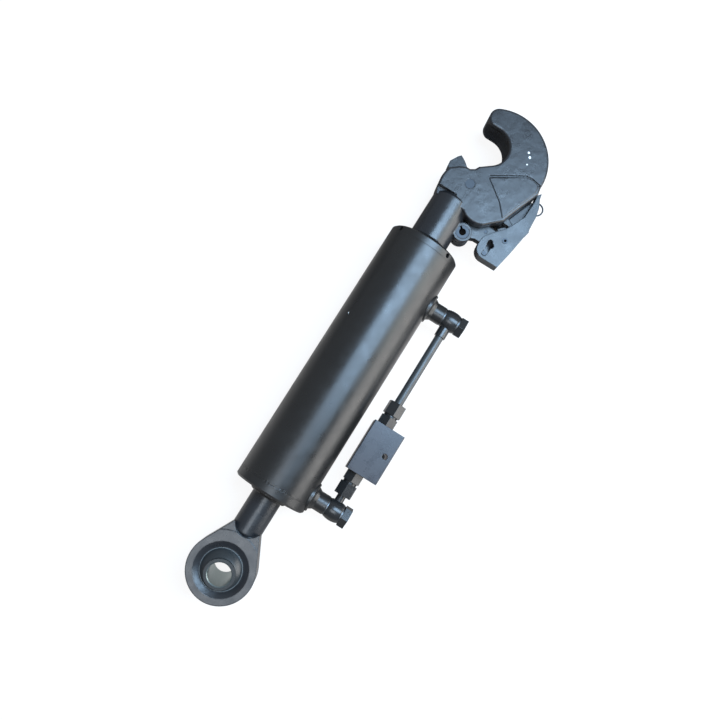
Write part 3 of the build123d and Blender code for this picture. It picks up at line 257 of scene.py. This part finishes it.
# Drop-forged steel, blasted and then sprayed: the forged skin keeps a coarse grain and slow swells,
# so its highlights wander, and the rounded edges catch thin lines of light
forged = dict(colour="#191a1c", worn="#222427", roughness=0.29, peel_mm=1.6, peel_depth=0.06,
              rounded_mm=1.6, swell_depth=0.22)
finishes = {
    # Drawn tube sprayed with one smooth coat: a long clear highlight that fine orange peel blurs.
    # One knock shows primer, and the weld by the base cap was ground by hand and still ripples
    "barrel_paint": painted_steel(
        "satin black paint", "#161616", "#1f1e1d", roughness=0.31, peel_mm=0.9, peel_depth=0.012,
        chips=[(304.2, 31.2, 28.9, 0.9)], seam=(102.2, 106.4)),
    # The hook and its ear, as forged above, with three knocks down to the primer
    "forging_paint": painted_steel(
        "slate paint on forging", **forged,
        chips=[(561, -50, 20.5, 1.0), (569.9, -48.4, 20.5, 1.6), (574.2, -44.7, 20.5, 1.4)]),
    # Sheet that was cut, pressed and sprayed: flat and even, with edges that the press rounded
    "lever_paint": painted_steel(
        "slate paint on pressed steel", "#1b1e21", "#23272b", roughness=0.27, peel_mm=1.2,
        peel_depth=0.02, rounded_mm=1.1),
    # Turned and milled fittings, plated and passivated black: a thin film that leaves edges crisp
    # and facets clean, with the sharpest shine of the dark finishes
    "fitting_finish": painted_steel(
        "black passivated steel", "#141516", "#212223", roughness=0.25, peel_mm=0.7,
        peel_depth=0.01, rounded_mm=0.4),
    # Turned and phosphated: a dark, dull skin, and a bright bore where the pin works
    "ball_steel": pin_ball("phosphated steel with a rubbed bore", "#25292b", "#7f8c8c"),
    # Ground and then plated with hard chrome: close to a mirror
    "rod_chrome": bare_steel("hard chrome", "#c4c6c8", 0.12),
    # Turned and left bare under a film of oil: mid grey with a broad soft shine
    "machined_steel": bare_steel("oiled turned steel", "#56595c", 0.40),
    # Rolled or cut from hardened stock and oiled: darker than turned steel
    "pin_steel": bare_steel("dark oiled steel", "#3a3c3f", 0.36),
    # Cold drawn wire, wound into coils: light grey, with a narrow line of light on each turn
    "spring_steel": bare_steel("spring wire", "#6c6e70", 0.35),
    # Moulded rubber, black and dull: the wiper's lip shows as a dark ring round the rod
    "seal_rubber": soft_part("seal rubber", "#111112", 0.6),
    # Strip of filled plastic, cut from a moulded band: ochre and dull
    "guide_plastic": soft_part("guide strip", "#7d6a45", 0.55),
}
own_finishes = {
    # Forged as above, with a painted highlight on the lip of its seat: a pale ring that stands for
    # the light its rounded edge catches
    "eye_end": painted_steel(
        "slate paint with a painted seat-lip highlight", **forged, lip_highlight=(22.6, 17.0)),
    # Square bar, milled flat and passivated: even bluish faces with hardly any peel
    "valve_block": painted_steel(
        "passivated milled bar", "#11151c", "#29262e", roughness=0.27, peel_mm=1.2,
        peel_depth=0.008, rounded_mm=0.8),
    # Cold drawn tube with black zinc: a softer and lighter dark grey than the fittings
    "steel_tube": painted_steel(
        "black zinc on drawn tube", "#2a2c2d", "#333637", roughness=0.36, peel_mm=2.0,
        peel_depth=0.01),
}
for node in nodes.values():
    for slot in node.material_slots:
        slot.material = finishes[slot.material.name.split(".")[0]]
for name, finish in own_finishes.items():
    nodes[name].material_slots[0].material = finish


# Pieces with finer shape than the solids. Their sizes and places are in mm
def add_piece(name, mesh, body, slot, *solids):
    """A visible piece on its body, in a finish of the record, which may stand for solids."""
    piece = bpy.data.objects.new(name, mesh)
    bpy.context.scene.collection.objects.link(piece)
    if not mesh.materials:
        mesh.materials.append(finishes[slot])
    if solids:
        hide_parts(*solids)
    if body:
        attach(piece, body)
    return piece


def ring_mesh(name, rings, closed):
    """A smooth mesh through closed rings of points: the row of rings closes too, or is capped."""
    mesh = bpy.data.meshes.new(name)
    shape = bmesh.new()
    rows = [[shape.verts.new(point) for point in ring] for ring in rings]
    followers = rows[1:] + rows[:1] if closed else rows[1:]
    for one, other in zip(rows, followers):
        for i in range(len(one)):
            j = (i + 1) % len(one)
            shape.faces.new((one[i], one[j], other[j], other[i]))
    if not closed:
        shape.faces.new(rows[0][::-1])
        shape.faces.new(rows[-1])
    bmesh.ops.recalc_face_normals(shape, faces=shape.faces)
    for face in shape.faces:
        face.smooth = len(face.verts) == 4
    shape.to_mesh(mesh)
    shape.free()
    return mesh


# Rings of mesh in each pool of weld, points in each ring, and the angle that gives the direction
POOL_RINGS, RING_POINTS, LOOK_AHEAD = 6, 12, 0.01
# The welder's hand wanders too: 3.7 waves for every 9 pools, each half a ripple high
WANDER, WANDER_POOLS, WANDER_SHARE = 3.7, 9, 0.5


def weld_bead(name, path, centre, thickness, ripple, pools):
    """A closed bead laid by hand along path(angle) round a centre: it swells with each pool."""
    steps = pools * POOL_RINGS
    rings = []
    for step in range(steps):
        angle = 2 * math.pi * step / steps
        here = Vector(path(angle))
        along = (Vector(path(angle + LOOK_AHEAD)) - here).normalized()
        across = along.cross(here - Vector(centre)).normalized()
        outward = across.cross(along)
        pool = (step % POOL_RINGS) / POOL_RINGS
        wander = math.sin(WANDER * angle * pools / WANDER_POOLS)
        size = thickness + ripple * (1 - pool) ** 2 + ripple * WANDER_SHARE * wander
        turns = [2 * math.pi * point / RING_POINTS for point in range(RING_POINTS)]
        rings.append([(here + (outward * math.cos(turn) + across * math.sin(turn)) * size) * MM
                      for turn in turns])
    return ring_mesh(name, rings, closed=True)


# The bead round the shank, where it meets the base cap
SHANK_BEAD_RADIUS, SHANK_BEAD_X = 18.9, 91.0


def shank_line(angle):
    return (SHANK_BEAD_X, SHANK_BEAD_RADIUS * math.cos(angle),
            SHANK_BEAD_RADIUS * math.sin(angle))


add_piece("shank_weld_bead",
          weld_bead("shank_weld_bead", shank_line, (SHANK_BEAD_X, 0, 0),
                    thickness=2.3, ripple=0.3, pools=44),
          "barrel", "barrel_paint")

# The beads at the feet of the two port bosses stand a little proud of the barrel, and go round a
# point on the boss's axis
BARREL_RADIUS, BOSS_BEAD_RADIUS = 42.5, 15.3
FOOT_PROUD, BOSS_MIDDLE_Y = 0.2, -40
PORTS_X = {"base": 114.0, "head": 362.3}
for end, port_x in PORTS_X.items():
    def boss_foot(angle, port_x=port_x):
        """The line where the boss meets the barrel."""
        z = BOSS_BEAD_RADIUS * math.sin(angle)
        surface_y = -math.sqrt(BARREL_RADIUS**2 - z * z)
        return port_x + BOSS_BEAD_RADIUS * math.cos(angle), surface_y - FOOT_PROUD, z

    add_piece(f"boss_weld_bead_{end}",
              weld_bead(f"boss_weld_bead_{end}", boss_foot, (port_x, BOSS_MIDDLE_Y, 0),
                        thickness=1.5, ripple=0.3, pools=34),
              "barrel", "barrel_paint")

# The Y of the axis that the tube, its fittings and the block's valve share
PIPE_LINE = -69.0
# The stud threads that show between each union nut and its hex: the pitch, the two radii, where
# each starts along X, and how many rings and points draw them
THREAD_PITCH, THREAD_CREST, THREAD_ROOT = 1.4, 8.35, 7.85
THREADS_X = {"base": 147.3, "tube": 232.7}
THREAD_RINGS, PITCH_RINGS, THREAD_POINTS = 9, 4, 48
for end, start in THREADS_X.items():
    rings = []
    for ring in range(THREAD_RINGS):
        x = start + THREAD_PITCH * (ring / PITCH_RINGS)
        radius = THREAD_CREST if ring % PITCH_RINGS == 2 else THREAD_ROOT
        turns = [2 * math.pi * point / THREAD_POINTS for point in range(THREAD_POINTS)]
        rings.append([(x * MM, (PIPE_LINE + radius * math.cos(turn)) * MM,
                       radius * math.sin(turn) * MM) for turn in turns])
    add_piece(f"stud_thread_{end}", ring_mesh(f"stud_thread_{end}", rings, closed=False),
              "barrel", "fitting_finish")

# The latch spring stretches between its posts as the lever swings. Its coils are a copy of its
# solid, which is hidden
coils = add_piece("latch_spring_coils", nodes["latch_spring"].data.copy(), None, "spring_steel",
                  "latch_spring")
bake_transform(coils)

# Each valve spring stands on the block with one end of its box, and its poppet pushes the other
LOW, HIGH = 0, 1
for end, poppet, stands_on, pushed_at in (("base", "poppet_1", LOW, HIGH),
                                          ("tube", "poppet_2", HIGH, LOW)):
    coils = add_piece(f"poppet_spring_coils_{end}", nodes[f"poppet_spring_{end}"].data.copy(),
                      None, "spring_steel", f"poppet_spring_{end}")
    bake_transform(coils)

# Camera, in metres: its place and view were solved from the outlines in the photograph
CAMERA_PLACE = (0.157278, -0.019005, 0.868752)
CAMERA_RIGHT = Vector((0.52703757, -0.84799543, 0.05642596))
CAMERA_DOWN = Vector((-0.84003154, -0.52986048, -0.11680376))
CAMERA_FORWARD = Vector((0.12894694, 0.01416038, -0.9915508))
camera_data = bpy.data.cameras.new("camera")
camera_data.lens = 39.0
camera_data.sensor_width = 36.0
camera = bpy.data.objects.new("camera", camera_data)
turn = Matrix((CAMERA_RIGHT, -CAMERA_DOWN, -CAMERA_FORWARD)).transposed()
camera.matrix_world = Matrix.Translation(CAMERA_PLACE) @ turn.to_4x4()
bpy.context.scene.collection.objects.link(camera)
bpy.context.scene.camera = camera


# Light
def area_light(name, place, target, width, depth, radiance, colour):
    """A rectangular soft light, in metres: its width lies along X, and it faces its target."""
    data = bpy.data.lights.new(name, "AREA")
    data.shape = "RECTANGLE"
    data.size = width
    data.size_y = depth
    data.energy = radiance * math.pi * width * depth
    data.color = linear(colour)[:3]
    light = bpy.data.objects.new(name, data)
    back = (Vector(place) - Vector(target)).normalized()
    along = (Vector((1, 0, 0)) - back * back.x).normalized()
    turn = Matrix((along, back.cross(along), back)).transposed()
    light.matrix_world = Matrix.Translation(place) @ turn.to_4x4()
    bpy.context.scene.collection.objects.link(light)
    return light


# The bluish overhead light that flat faces mirror. It is narrower at the hook's end, so that the
# hook's left side and tip stay darker
OVERHEAD, OVERHEAD_RADIANCE = "#bbdeff", 15.5
area_light("overhead", (0.70, -0.51, 1.6), (0.62, -0.26, 0), 0.69, 1.33,
           OVERHEAD_RADIANCE, OVERHEAD)
area_light("overhead hook side", (1.17, -0.62, 1.6), (1.09, -0.37, 0), 0.25, 1.11,
           OVERHEAD_RADIANCE, OVERHEAD)
# Weaker lights for the eye and for the side with the fittings
area_light("overhead eye side", (-0.34, 0.0, 1.7), (-0.2, 0, 0), 0.7, 0.8, 6.5, "#e4edf6")
area_light("side", (0.95, -1.4, 1.1), (0.5, 0, 0), 0.7, 0.7, 5.5, "#eef6f2")
# A low white panel that draws the bright line along the barrel's side. The camera doesn't see it
panel = area_light("low side", (0.44, -0.52, 0.14), (0.44, 0, 0.14), 0.78, 0.32, 4.5, "#fdfbf8")
panel.visible_camera = False

# A dim room for the object, and a white one for the camera
ROOM_STRENGTH = 0.4
world = bpy.data.worlds.new("room")
world.use_nodes = True
room = world.node_tree.nodes["Background"]
room.inputs["Color"].default_value = linear("#f2f2f4")
room.inputs["Strength"].default_value = ROOM_STRENGTH
white = add_node(world.node_tree, "ShaderNodeBackground",
                 {"Color": linear("#ffffff"), "Strength": 1.0})
camera_ray = add_node(world.node_tree, "ShaderNodeLightPath").outputs["Is Camera Ray"]
behind = add_node(world.node_tree, "ShaderNodeMixShader",
                  {0: camera_ray, 1: room.outputs["Background"], 2: white.outputs["Background"]})
world.node_tree.links.new(behind.outputs["Shader"],
                          world.node_tree.nodes["World Output"].inputs["Surface"])
bpy.context.scene.world = world
bpy.context.scene.view_settings.view_transform = "Standard"

# Floor of white paper, in metres: white to the camera with a trace of shadow, plain pale paper to
# other light except mirrored rays, which see a painted reflection below. Under the block's fixing
# hole the paper has a painted shadow, a dark patch that the hole shows
FLOOR_LEVEL = -0.0428
FLOOR_MIDDLE_X, FLOOR_HALF_WIDTH = 0.25, 6.0
UNDER_FIXING_HOLE = (0.194, -0.0889, FLOOR_LEVEL)
SHADOW_FULL_TO, SHADOW_GONE_FROM = 0.005, 0.01
PAPER_GLOW, GLOW_SHARE = 1.05, 0.82
floor_mesh = bpy.data.meshes.new("floor")
shape = bmesh.new()
bmesh.ops.create_grid(shape, x_segments=1, y_segments=1, size=FLOOR_HALF_WIDTH)
shape.to_mesh(floor_mesh)
shape.free()
floor = bpy.data.objects.new("floor", floor_mesh)
floor.location = (FLOOR_MIDDLE_X, 0, FLOOR_LEVEL)
bpy.context.scene.collection.objects.link(floor)
paper, tree, shader = new_material("white paper")
shader.inputs["Roughness"].default_value = 0.9
glow = add_node(tree, "ShaderNodeEmission", {"Color": linear("#ffffff"), "Strength": PAPER_GLOW})
seen = add_node(tree, "ShaderNodeLightPath")
ground = add_node(tree, "ShaderNodeNewGeometry").outputs["Position"]
from_hole = add_node(tree, "ShaderNodeVectorMath", {0: ground, 1: UNDER_FIXING_HOLE},
                     operation="DISTANCE")
# A painted shadow: round the point under the fixing hole the paper is nearly black and does not
# glow
glow_outside_painted_shadow = add_node(tree, "ShaderNodeMapRange", {
    "Value": from_hole.outputs["Value"], "From Min": SHADOW_FULL_TO, "From Max": SHADOW_GONE_FROM,
    "To Min": 0.0, "To Max": GLOW_SHARE,
}).outputs["Result"]
paper_with_painted_shadow = add_node(tree, "ShaderNodeMix",
                 {"Factor": glow_outside_painted_shadow, COLOUR_A: linear("#050506"), COLOUR_B: linear("#fbfbfc")},
                 data_type="RGBA")
tree.links.new(paper_with_painted_shadow.outputs[COLOUR_OUT], shader.inputs["Base Color"])
share = add_node(tree, "ShaderNodeMath", {0: seen.outputs["Is Camera Ray"], 1: glow_outside_painted_shadow},
                 operation="MULTIPLY")
mixed = add_node(tree, "ShaderNodeMixShader", {
    0: share.outputs["Value"], 1: shader.outputs["BSDF"], 2: glow.outputs["Emission"],
})

# Painted reflection: to mirrored rays the paper glows, brighter or darker by place, standing in for
# its light and shade round the object, and paint and metal mirror that. Each row goes by the place
# on one axis: from which place to which the brightness changes, and what it is at each
BRIGHTNESS = {
    "past the eye": ("X", -0.02, 0.08, 0.9, 0.35),
    "beside the barrel": ("X", 0.22, 0.3, 0.35, 1.0),
    "by the lever": ("X", 0.4, 0.44, 1.0, 0.06),
    "along the far side": ("X", 0.15, 0.42, 0.85, 0.3),
    "far out": ("Y", 0.18, 0.5, 1.0, 0.5),
    "near side to far side": ("Y", -0.02, 0.12, 0.0, 1.0),
}
spot = add_node(tree, "ShaderNodeSeparateXYZ", {0: ground})
ramps = {}
for where, (axis, start, end, at_start, at_end) in BRIGHTNESS.items():
    ramps[where] = add_node(tree, "ShaderNodeMapRange", {
        "Value": spot.outputs[axis], "From Min": start, "From Max": end,
        "To Min": at_start, "To Max": at_end,
    }).outputs["Result"]
brighter = add_node(tree, "ShaderNodeMath",
                    {0: ramps["past the eye"], 1: ramps["beside the barrel"]}, operation="MAXIMUM")
near_side = add_node(tree, "ShaderNodeMath",
                     {0: brighter.outputs["Value"], 1: ramps["by the lever"]}, operation="MULTIPLY")
far_side = add_node(tree, "ShaderNodeMath",
                    {0: ramps["along the far side"], 1: ramps["far out"]}, operation="MULTIPLY")
brightness = add_node(tree, "ShaderNodeMix", {
    "Factor": ramps["near side to far side"], NUMBER_A: near_side.outputs["Value"],
    NUMBER_B: far_side.outputs["Value"],
})
# Painted reflection: the glow that mirrored rays see, with its brightness set by place
painted_reflection_glow = add_node(tree, "ShaderNodeEmission",
               {"Color": linear("#f4f4f5"), "Strength": brightness.outputs[NUMBER_OUT]})
mirrored = add_node(tree, "ShaderNodeMixShader", {
    0: seen.outputs["Is Glossy Ray"], 1: mixed.outputs["Shader"], 2: painted_reflection_glow.outputs["Emission"],
})
tree.links.new(mirrored.outputs["Shader"], tree.nodes["Material Output"].inputs["Surface"])
floor_mesh.materials.append(paper)
